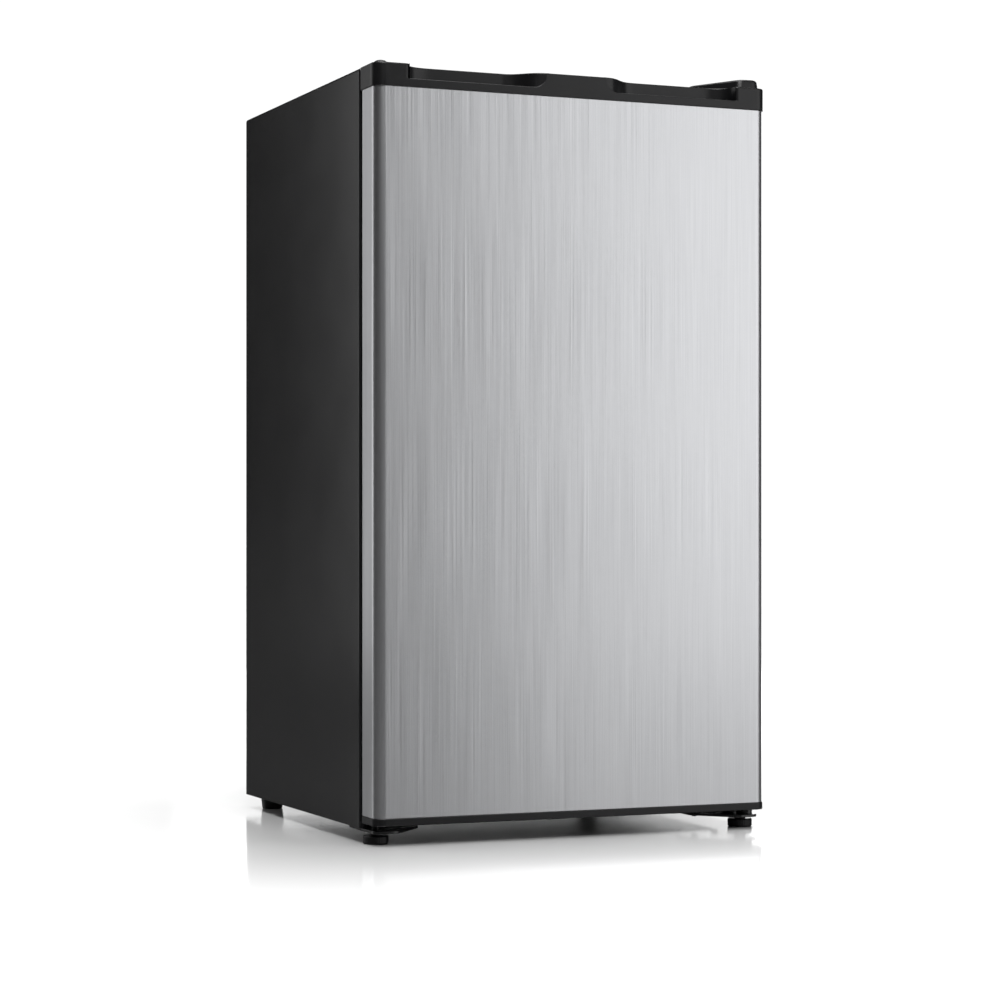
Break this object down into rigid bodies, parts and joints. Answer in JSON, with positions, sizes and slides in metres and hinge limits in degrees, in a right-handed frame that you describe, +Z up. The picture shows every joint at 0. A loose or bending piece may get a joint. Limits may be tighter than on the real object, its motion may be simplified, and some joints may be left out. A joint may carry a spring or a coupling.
{
  "type": "mini fridge",
  "caption": "Free-standing compact refrigerator: black cabinet, brushed steel door with a black grip cap on top, ice box, glass shelves, crisper and a rear compressor bay.",
  "frame": {"origin": "on the floor, in the middle of the overall width and depth", "axes": "+Z up, the front looks along -Y, the door hinges on the +X side"},
  "size_m": [0.472, 0.4536, 0.8473],
  "materials": {
    "cabinet_paint": "satin black powder coat",
    "rear_panel_paint": "matt dark grey paint",
    "zinc_plated_steel": "zinc plated sheet",
    "brushed_steel": "fine vertical brushed grain",
    "rolled_aluminium": "rolled sheet",
    "copper": "drawn copper tube",
    "compressor_paint": "gloss black enamel",
    "black_plastic": "fine moulded texture",
    "white_plastic": "vacuum formed satin white",
    "frosted_plastic": "frosted translucent",
    "clear_plastic": "clear moulded plastic",
    "shelf_glass": "clear tempered glass",
    "lamp_glass": "clear glass",
    "rubber": "moulded rubber",
    "gasket_rubber": "soft dark grey extrusion",
    "insulating_foam": "rigid foam"
  },
  "bodies": {
    "cabinet": {"outer_shell": "cabinet_paint", "back_panel": "rear_panel_paint", "base_panel": "zinc_plated_steel", "front_crossbar": "cabinet_paint", "cabinet_foam": "insulating_foam", "inner_liner": "white_plastic", "evaporator_box": "rolled_aluminium", "freezer_frame": "white_plastic", "thermostat_housing": "white_plastic", "lamp_bulb": "lamp_glass", "lamp_cover": "frosted_plastic", "switch_housing": "white_plastic", "upper_shelf_glass": "shelf_glass", "upper_shelf_trim": "white_plastic", "lower_shelf_glass": "shelf_glass", "lower_shelf_trim": "white_plastic", "crisper_cover_glass": "shelf_glass", "crisper_cover_trim": "white_plastic", "condenser_coil": "copper", "compressor_pan": "zinc_plated_steel", "compressor": "compressor_paint", "compressor_base_plate": "compressor_paint", "compressor_mount_front_left": "rubber", "compressor_mount_front_right": "rubber", "compressor_mount_rear_left": "rubber", "compressor_mount_rear_right": "rubber", "terminal_cover": "black_plastic", "evaporation_tray": "black_plastic", "suction_tube": "copper", "discharge_tube": "copper", "filter_drier": "copper", "cord_gland": "black_plastic", "top_hinge_bracket": "zinc_plated_steel", "top_hinge_cover": "black_plastic", "top_hinge_screw_1": "zinc_plated_steel", "top_hinge_screw_2": "zinc_plated_steel", "lower_hinge_bracket": "cabinet_paint", "left_foot_bracket": "cabinet_paint", "lower_hinge_screw_1": "zinc_plated_steel", "lower_hinge_screw_2": "zinc_plated_steel", "rear_left_foot": "black_plastic", "rear_right_foot": "black_plastic"},
    "door": {"door_skin": "brushed_steel", "door_foam": "insulating_foam", "door_liner": "white_plastic", "door_top_cap": "black_plastic", "door_bottom_cap": "black_plastic", "door_gasket": "gasket_rubber", "hinge_hole_plug": "black_plastic"},
    "upper_rack": {"upper_door_rack": "clear_plastic"},
    "middle_rack": {"middle_door_rack": "clear_plastic"},
    "lower_rack": {"bottle_rack": "clear_plastic"},
    "ice_box_flap": {"freezer_flap": "frosted_plastic"},
    "crisper": {"crisper_drawer": "clear_plastic"},
    "melt_tray": {"drip_tray": "clear_plastic"},
    "dial": {"thermostat_dial": "white_plastic"},
    "door_switch": {"switch_plunger": "white_plastic"},
    "left_levelling_foot": {"front_left_foot": "black_plastic"},
    "right_levelling_foot": {"front_right_foot": "black_plastic"}
  },
  "joints": [
    {"name": "door_hinge", "type": "hinge", "parent": "cabinet", "child": "door", "pos_m": [0.221, -0.20425, 0.42], "axis": [0, 0, 1], "range_deg": [0, 120]},
    {"name": "flap_hinge", "type": "hinge", "parent": "cabinet", "child": "ice_box_flap", "pos_m": [0.182, -0.0806, 0.723], "axis": [0, 0, 1], "range_deg": [0, 100]},
    {"name": "crisper_slide", "type": "slide", "parent": "cabinet", "child": "crisper", "axis": [0, -1, 0], "range_m": [0, 0.2]},
    {"name": "drip_tray_slide", "type": "slide", "parent": "cabinet", "child": "melt_tray", "axis": [0, -1, 0], "range_m": [0, 0.15]},
    {"name": "door_switch_press", "type": "slide", "parent": "cabinet", "child": "door_switch", "axis": [0, -1, 0], "range_m": [0, 0.01]},
    {"name": "thermostat_turn", "type": "hinge", "parent": "cabinet", "child": "dial", "pos_m": [0.181, -0.06, 0.584], "axis": [0, 1, 0], "range_deg": [0, 300]},
    {"name": "left_foot_screw", "type": "hinge", "parent": "cabinet", "child": "left_levelling_foot", "pos_m": [-0.221, -0.18925, 0.01], "axis": [0, 0, 1], "continuous": true},
    {"name": "right_foot_screw", "type": "hinge", "parent": "cabinet", "child": "right_levelling_foot", "pos_m": [0.221, -0.18925, 0.01], "axis": [0, 0, 1], "continuous": true},
    {"name": "upper_rack_lift", "type": "slide", "parent": "door", "child": "upper_rack", "axis": [0, 0, 1], "range_m": [0, 0.025]},
    {"name": "middle_rack_lift", "type": "slide", "parent": "door", "child": "middle_rack", "axis": [0, 0, 1], "range_m": [0, 0.025]},
    {"name": "lower_rack_lift", "type": "slide", "parent": "door", "child": "lower_rack", "axis": [0, 0, 1], "range_m": [0, 0.025]}
  ],
  "couplings": [
    {"joint": "flap_hinge", "follows": "door_hinge", "ratio": 0.65},
    {"joint": "crisper_slide", "follows": "door_hinge", "m_per_rad": 0.055},
    {"joint": "drip_tray_slide", "follows": "door_hinge", "m_per_rad": 0.03},
    {"joint": "door_switch_press", "follows": "door_hinge", "m_per_rad": 0.0038}
  ]
}
